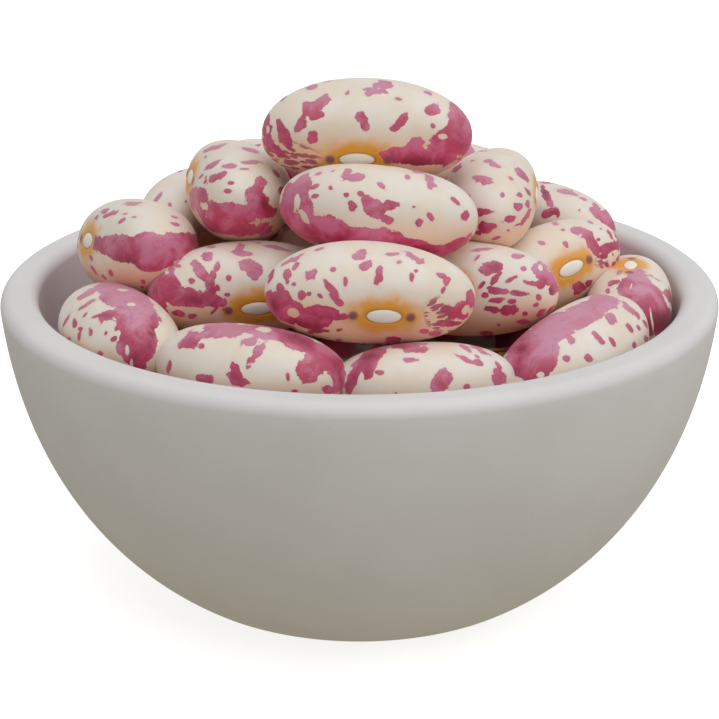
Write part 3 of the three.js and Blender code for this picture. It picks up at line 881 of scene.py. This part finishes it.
class Nodes:
    """A node tree being made. Most calls add a node and give back one of its outputs."""

    def __init__(self, tree):
        self.tree = tree

    def give(self, socket, value):
        """Links a field to an input, or sets the input to a value."""
        if isinstance(value, Field):
            self.tree.links.new(value.socket, socket)
        else:
            socket.default_value = value

    def node(self, kind, output, inputs=None, **choices):
        """Adds a node, sets choices on it, and gives its inputs values or fields. Inputs and the output
        go by name or number."""
        made = self.tree.nodes.new(kind)
        for choice, value in choices.items():
            setattr(made, choice, value)
        for key, value in (inputs or {}).items():
            self.give(made.inputs[key], value)
        return Field(self, made.outputs[output])

    def part(self, axis, vector):
        """One of a vector's three numbers."""
        return self.node("ShaderNodeSeparateXYZ", axis, {0: vector})

    def attribute(self, name, output="Fac"):
        """What the mesh says at each point or corner."""
        return self.node("ShaderNodeAttribute", output, attribute_name=name)

    def math(self, operation, first, second=0.0):
        """Numbers reckoned with."""
        return self.node("ShaderNodeMath", 0, {0: first, 1: second}, operation=operation)

    def vector(self, operation, first, second=(0.0, 0.0, 0.0), output="Vector"):
        """Vectors reckoned with. SCALE takes a number second."""
        inputs = {0: first, "Scale" if operation == "SCALE" else 1: second}
        return self.node("ShaderNodeVectorMath", output, inputs, operation=operation)

    def step(self, value, low, high, start=0.0, end=1.0, curve="SMOOTHSTEP"):
        """Runs from start to end as value goes from low to high."""
        inputs = {"Value": value, "From Min": low, "From Max": high, "To Min": start, "To Max": end}
        return self.node("ShaderNodeMapRange", "Result", inputs, interpolation_type=curve)

    def mix(self, share, first, second, blend_type="MIX"):
        """Colours mixed: all first at share 0, all second at 1."""
        first, second = ((*c, 1.0) if isinstance(c, tuple) else c for c in (first, second))
        inputs = {0: share, 6: first, 7: second}
        return self.node("ShaderNodeMix", 2, inputs, data_type="RGBA", blend_type=blend_type)

    def layered(self, colour, *layers, blend_type="MIX"):
        """Colours laid over a colour in turn, each with its share."""
        for share, layer in layers:
            colour = self.mix(share, colour, layer, blend_type)
        return colour

    def glazed(self, colour, *glazes):
        """The same with glazes, which multiply."""
        return self.layered(colour, *glazes, blend_type="MULTIPLY")


class Finish(Nodes):
    """A material being made."""

    def __init__(self, name):
        self.material = bpy.data.materials.new(name)
        self.material.use_nodes = True
        super().__init__(self.material.node_tree)
        self.shader = self.tree.nodes["Principled BSDF"]
        self.millimetres = self.vector("SCALE", self.node("ShaderNodeTexCoord", "Object"), 1 / MM)

    def set(self, **values):
        """Sets inputs of the shader, with words joined by underscores."""
        for key, value in values.items():
            self.give(self.shader.inputs[key.replace("_", " ").title()], value)

    def noise(self, scale, detail=2.0, roughness=0.5, distortion=0.0):
        """Noise from 0 to 1, about 0.5, with `scale` waves to the millimetre."""
        inputs = {"Vector": self.millimetres, "Scale": scale, "Detail": detail}
        inputs.update({"Roughness": roughness, "Distortion": distortion})
        return self.node("ShaderNodeTexNoise", "Fac", inputs)

    def bump(self, height, strength, distance):
        """A bumped normal: distance is the height of a full step, in millimetres."""
        inputs = {"Height": height, "Strength": strength, "Distance": distance * MM}
        self.set(normal=self.node("ShaderNodeBump", "Normal", inputs))


def bowl_ceramic(settings):
    """Matt pale ceramic with faint clouds and specks, a fine eggshell surface and slow waves."""
    finish = Finish("bowl_ceramic")
    clay = tuple(settings.clay)
    clouds = finish.step(finish.noise(0.12, 3.0), 0.35, 0.65)
    specks = finish.step(finish.noise(4.0, 1.0), 0.70, 0.80, 0.0, 0.18)
    body = finish.layered(scaled(clay, CLAY_CLOUD), (clouds, clay), (specks, scaled(clay, CLAY_SPECK)))
    grain = finish.noise(2.6, 4.0)
    finish.set(base_color=body, roughness=finish.step(grain, 0.3, 0.7, 0.52, 0.66))
    finish.bump(grain * 0.25 + finish.noise(0.35, 1.0), 0.35, 0.06)
    return finish.material


class BeanCoat(Finish):
    """The coat of the beans: cream, with ragged marks in mauve and rose and with ochre round the eye."""

    def __init__(self, settings):
        super().__init__("bean_coat")
        for name in ("cream", "mauve", "lilac_and_sheen", "rose", "ochre", "eye"):
            setattr(self, name, tuple(getattr(settings, name)))
        self.deep_and_shaded = self.attribute("deep_and_shaded")
        self.upward = self.part("Z", self.node("ShaderNodeNewGeometry", "Normal"))
        # how far a place faces down: the share that takes the painted warm light and shade
        self.below = self.step(self.upward, 0.45, -0.5)
        from_eye = self.attribute("coat", "Vector")
        self.along, self.across, height = (self.part(axis, from_eye) for axis in "XYZ")
        self.eye_side = self.step(height, *EYE_DEPTH)
        self.off_eye = self.oval(*EYE_HALF)

    def oval(self, half_along, half_across, offset=0.0):
        """Distance from a place by the eye in half sizes, the root of (along / a)^2 + (across / b)^2."""
        u = (self.along - offset) / half_along
        v = self.across / half_across
        return self.math("SQRT", u * u + v * v)

    def depth_in_oval(self, name, swell):
        """How far inside its nearest oval a place lies: half width * swell - hypot(along, across)."""
        seen = self.attribute(name, "Vector")
        flat = self.vector("MULTIPLY", seen, (1.0, 1.0, 0.0))
        half_width = self.vector("DOT_PRODUCT", seen, (0.0, 0.0, 1.0), "Value")
        return half_width * swell - self.vector("LENGTH", flat, output="Value")

    def ground(self):
        """Cream in warmer and cooler clouds, with the bloom round the eye. The undersides are glazed redder
        as painted warm light and shade, for the light that comes through the beans, and the beans in the
        gaps are darkened as painted shade."""
        clouds = self.step(self.noise(0.35), 0.3, 0.7)
        # painted shade: the beans in the gaps count as inside the darker ovals all over, and their cream is
        # darkened
        gaps = self.step(self.deep_and_shaded, 2.85, 2.97)
        wobble = (self.noise(0.9) - 0.5) * 0.6
        bloom = self.step(self.oval(*BLOOM_HALF) + wobble, 1.15, 0.5) * self.eye_side
        ground = self.mix(clouds, self.cream, scaled(self.cream, WARM_CREAM))
        ground = self.glazed(ground, (self.below, CREAM_PAINTED_WARM_UNDERSIDE), (gaps, CREAM_PAINTED_GAP_SHADE))
        return self.mix(bloom * 0.95, ground, self.ochre)

    def marks(self):
        """How far inside the marks a place lies, and how surely in a spot: the greater of the patches, with
        ragged edges, and the spots, with wavy ones, less the pale openings, which are partly painted
        highlights, and the ground round the eye."""
        patch = self.attribute("mark") + (self.noise(0.8, 3.5, roughness=0.6) - 0.5)
        swell = self.noise(1.1) * 2.2 - 0.1
        first, second, third = (self.depth_in_oval(name, swell) for name in SPOT_FIELDS)
        spot = self.math("MAXIMUM", self.math("MAXIMUM", first, second), third)
        inside = self.math("MAXIMUM", patch, spot)
        # the pale openings, partly painted highlights, are cut out of the marks
        inside = self.math("MINIMUM", inside, self.depth_in_oval(HOLE_AND_HIGHLIGHT_FIELD, swell) * -1.0)
        round_eye = self.step(self.off_eye, 1.1, 1.5, -1.5, 0.0) * self.eye_side
        return inside + round_eye, self.step(spot - patch, -0.05, 0.05)

    def pigment(self, inside, in_spot):
        """Colour of the marks: mauve and rose in clouds, and the lilac_and_sheen colour in patches; where
        they face up, paler with it as a painted sheen of the light from above. Rose in spots and along
        edges, darker rose where their tone deepens and where painted contact shade falls, and glazed redder
        on the undersides as painted warm light and shade."""
        tone = self.noise(0.45, 5.0, roughness=0.6, distortion=0.6)
        pale = self.step(self.noise(0.7, 5.0, roughness=0.65), 0.52, 0.72, 0.0, 0.3)
        streaky = self.noise(1.2, 5.0, roughness=0.7, distortion=0.8)
        streaky = self.step(streaky, 0.52, 0.68, 0.0, 0.6)
        # painted contact shade in part: inside the darker ovals, and on the beans in the gaps, the marks
        # turn darker rose
        deep_and_shaded_share = self.step(self.deep_and_shaded + (tone - 0.5) * 4.0, -0.8, 0.6)
        darkest_and_shaded = self.step(self.deep_and_shaded + (tone - 0.5) * 2.0, 0.1, 1.1)
        pigment = self.layered(
            self.mauve,
            (self.step(tone, 0.41, 0.59), self.rose),
            (pale, self.lilac_and_sheen),
            (self.step(inside, 0.12, 0.0, 0.0, 0.35), self.rose),
            (in_spot * 0.5, self.rose),
            # painted sheen: marks that face up are paler, for the light from above glancing off them
            (self.step(self.upward, 0.6, 1.0, 0.0, 0.55), self.lilac_and_sheen),
            (deep_and_shaded_share * 0.75, scaled(self.rose, ROSE_DEEP_AND_SHADED)),
        )
        # glazes: darker where their tone deepens and where painted contact shade falls, streaky, and redder
        # on the undersides as painted warm light and shade
        glazes = ((darkest_and_shaded, DARKEST_MARKS_AND_SHADE), (streaky, STREAKY_MARKS), (self.below, MARKS_PAINTED_WARM_UNDERSIDE))
        return self.glazed(pigment, *glazes)

    def strokes(self):
        """Fine strokes out from the eye: cells in polar coordinates, stretched along the radius."""
        radius = self.math("SQRT", self.along * self.along + self.across * self.across)
        angle = self.math("ARCTAN2", self.across, self.along)
        fan = self.node("ShaderNodeCombineXYZ", 0, {0: angle * 7.0, 1: radius * 0.6})
        fan = self.vector("ADD", fan, self.vector("SCALE", self.millimetres, 0.2))
        inputs = {"Vector": fan, "Scale": 1.85, "Randomness": 0.9}
        cells = self.node("ShaderNodeTexVoronoi", "Distance", inputs)
        return self.step(cells, 0.56, 0.48) * self.step(self.attribute("streak"), -0.1, 0.3)

    def paint(self):
        """The ground with a blush round the marks, then the marks, the strokes, the dots and the eye."""
        inside, in_spot = self.marks()
        blush = tuple(0.55 * c + 0.45 * m for c, m in zip(self.cream, self.mauve))
        dots = [self.step(self.oval(DOT_RADIUS, DOT_RADIUS, offset), 1.3, 0.5) for offset in DOTS_ALONG]
        centre = self.step(self.off_eye, 1.0, 0.9) * self.eye_side
        colour = self.layered(
            self.ground(),
            (self.step(inside, -0.2, 0.0, 0.0, 0.22), blush),
            (self.step(inside, -0.03, 0.03), self.pigment(inside, in_spot)),
            (self.strokes() * 0.9, scaled(self.rose, STROKE_SHADE)),
            (self.math("MAXIMUM", *dots) * self.eye_side, DOT_COLOUR),
            (self.step(self.off_eye, 1.15, 1.03) * self.eye_side * 0.5, EYE_EDGE),
            (centre, self.eye),
        )
        roughness = self.step(self.noise(1.4, 3.0), 0.3, 0.7, 0.42, 0.55) + centre * 0.25
        self.set(base_color=colour, roughness=roughness)


def bean_coat(settings):
    """The finished coat, which lets in a little light and has a faint bloom and a fine skin."""
    coat = BeanCoat(settings)
    coat.paint()
    coat.set(subsurface_weight=0.25, subsurface_radius=(1.0, 0.5, 0.3), subsurface_scale=0.8 * MM)
    coat.set(sheen_weight=0.12, sheen_roughness=0.4)
    coat.bump(coat.noise(5.0) * 0.25 + coat.noise(0.7), 0.25, 0.08)
    return coat.material


def core_finish(settings):
    """The mound below the beans, painted in the beans' colours darkened as in shade: a painted shade, for
    it shows only through the gaps.
    """
    finish = Finish("bean_core")
    blotch = finish.step(finish.noise(0.25, 4.0), 0.45, 0.55)
    body = finish.mix(blotch, scaled(settings.cream, CORE_SHADE), tuple(settings.rose))
    finish.set(base_color=body, roughness=0.5)
    finish.bump(finish.noise(0.3, 3.0), 0.6, 0.5)
    return finish.material


def floor_finish(settings):
    """Plain pale floor with a faint matt grain, lit a little from below."""
    finish = Finish("floor")
    pale = tuple(settings.floor_colour)
    body = finish.mix(finish.noise(0.05), scaled(pale, FLOOR_CLOUD), pale)
    finish.set(base_color=body, roughness=0.9)
    finish.set(emission_color=(*WHITE, 1.0), emission_strength=settings.floor_glow)
    return finish.material


# Operators


def dress(piece, material, node):
    """Gives a piece its material and its body, and hides the CAD node that it stands for."""
    piece.data.materials.append(material)
    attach(piece, BODY)
    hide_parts(node)


class BEANBOWL_OT_bowl(Operator):
    """Turn the bowl"""

    bl_idname = "beanbowl.bowl"
    bl_label = "Turn the bowl"

    def execute(self, context):
        settings = context.scene.bowl_settings
        profile = bowl_profile(Walls(settings))
        faces = grid_faces(len(profile) - 2, settings.sectors)
        piece = write_mesh("bowl_turned", turned(profile, settings.sectors), faces)
        dress(piece, bowl_ceramic(settings), BOWL_NODE)
        return {"FINISHED"}


class BEANBOWL_OT_core(Operator):
    """Make the mound that carries the beans"""

    bl_idname = "beanbowl.core"
    bl_label = "Make the mound"

    def execute(self, context):
        profile = mound_profile(Walls(context.scene.bowl_settings))
        points = turned(profile, CORE_SECTORS)
        up = np.clip((points[:, 2] - CORE_SHOULDER[1]) / CORE_FADE, 0, 1)
        across, back = points[:, 0] * CORE_WAVES[0], points[:, 1] * CORE_WAVES[1]
        points[:, 2] += CORE_RELIEF * up * np.sin(across) * np.cos(back)
        piece = write_mesh("heap_core", points, grid_faces(len(profile) - 2, CORE_SECTORS))
        dress(piece, core_finish(context.scene.bean_settings), HEAP_NODE)
        return {"FINISHED"}


class BEANBOWL_OT_beans(Operator):
    """Heap the beans on the mound"""

    bl_idname = "beanbowl.beans"
    bl_label = "Heap the beans"

    def execute(self, context):
        settings = context.scene.bean_settings
        piece = write_mesh("beans", *heap_of_beans(settings))
        dress(piece, bean_coat(settings), HEAP_NODE)
        return {"FINISHED"}


class BEANBOWL_OT_stage(Operator):
    """Set the floor, the lights and the camera"""

    bl_idname = "beanbowl.stage"
    bl_label = "Set the stage"

    def execute(self, context):
        settings = context.scene.stage_settings
        half = settings.floor_side / 2 / MM
        corners = np.array([[-half, -half, 0.0], [half, -half, 0.0], [half, half, 0.0], [-half, half, 0.0]])
        floor = write_mesh("floor", corners, [(0, 1, 2, 3)])
        floor.data.materials.append(floor_finish(settings))
        floor.visible_diffuse = floor.visible_glossy = False
        self.sky(context.scene, settings.sky)
        self.lamp("key_light", KEY_FROM, settings.key_strength, settings.key_spread)
        self.lamp("fill_light", FILL_FROM, settings.fill_strength, settings.key_spread)
        self.camera(context.scene)
        context.scene.view_settings.view_transform = "Standard"
        return {"FINISHED"}

    @staticmethod
    def sky(scene, brightness):
        """Even light from all round, white from above, dimmer and warmer from below. What shows of it
        beyond the floor is brighter, to match the floor."""
        scene.world = bpy.data.worlds.new("sky")
        scene.world.use_nodes = True
        nodes = Nodes(scene.world.node_tree)
        background = nodes.tree.nodes["Background"]
        height = nodes.part("Z", nodes.node("ShaderNodeTexCoord", "Generated"))
        share = nodes.step(height, *BELOW_REACH, curve="LINEAR")
        nodes.give(background.inputs["Color"], nodes.mix(share, BELOW, WHITE))
        seen = nodes.node("ShaderNodeLightPath", "Is Camera Ray")
        strength = nodes.step(seen, 0.0, 1.0, brightness, BACKDROP, curve="LINEAR")
        nodes.give(background.inputs["Strength"], strength)

    @staticmethod
    def lamp(name, direction, strength, spread):
        """A soft light from a direction."""
        data = bpy.data.lights.new(name, "SUN")
        data.energy, data.angle = strength, spread
        lamp = bpy.data.objects.new(name, data)
        lamp.rotation_euler = Vector(direction).to_track_quat("Z", "Y").to_euler()
        bpy.context.scene.collection.objects.link(lamp)

    @staticmethod
    def camera(scene):
        """The camera in front, looking down on the beans."""
        data = bpy.data.cameras.new("camera")
        data.lens, data.sensor_width = LENS, SENSOR
        data.clip_start = CAMERA_CLIP * MM
        camera = bpy.data.objects.new("camera", data)
        place, aim = Vector(CAMERA_PLACE) * MM, Vector(CAMERA_AIM) * MM
        camera.location = place
        camera.rotation_euler = (aim - place).to_track_quat("-Z", "Y").to_euler()
        scene.collection.objects.link(camera)
        scene.camera = camera


class BEANBOWL_PT_panel(Panel):
    """Lists the steps and their settings."""

    bl_idname = "BEANBOWL_PT_panel"
    bl_label = "Bowl of beans"
    bl_space_type = "VIEW_3D"
    bl_region_type = "UI"
    bl_category = "Beans"

    def draw(self, context):
        for owner, operators in STEPS.items():
            box = self.layout.box()
            settings = getattr(context.scene, owner)
            for name in settings.__annotations__:
                box.prop(settings, name)
            for operator in operators:
                box.operator(operator.bl_idname)


STEPS = {
    "bowl_settings": (BEANBOWL_OT_bowl, BEANBOWL_OT_core),
    "bean_settings": (BEANBOWL_OT_beans,),
    "stage_settings": (BEANBOWL_OT_stage,),
}
SETTINGS = {"bowl_settings": BowlSettings, "bean_settings": BeanSettings, "stage_settings": StageSettings}
OPERATORS = [operator for operators in STEPS.values() for operator in operators]
CLASSES = (*SETTINGS.values(), *OPERATORS, BEANBOWL_PT_panel)


def register():
    """Registers the classes and puts the settings on the scene."""
    for kind in CLASSES:
        bpy.utils.register_class(kind)
    for owner, kind in SETTINGS.items():
        setattr(bpy.types.Scene, owner, PointerProperty(type=kind))


def unregister():
    """Takes the settings and the classes away again."""
    for owner in SETTINGS:
        delattr(bpy.types.Scene, owner)
    for kind in reversed(CLASSES):
        bpy.utils.unregister_class(kind)


def main():
    """Registers the classes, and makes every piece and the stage."""
    register()
    bpy.ops.beanbowl.bowl()
    bpy.ops.beanbowl.core()
    bpy.ops.beanbowl.beans()
    bpy.ops.beanbowl.stage()


if __name__ == "__main__":
    main()
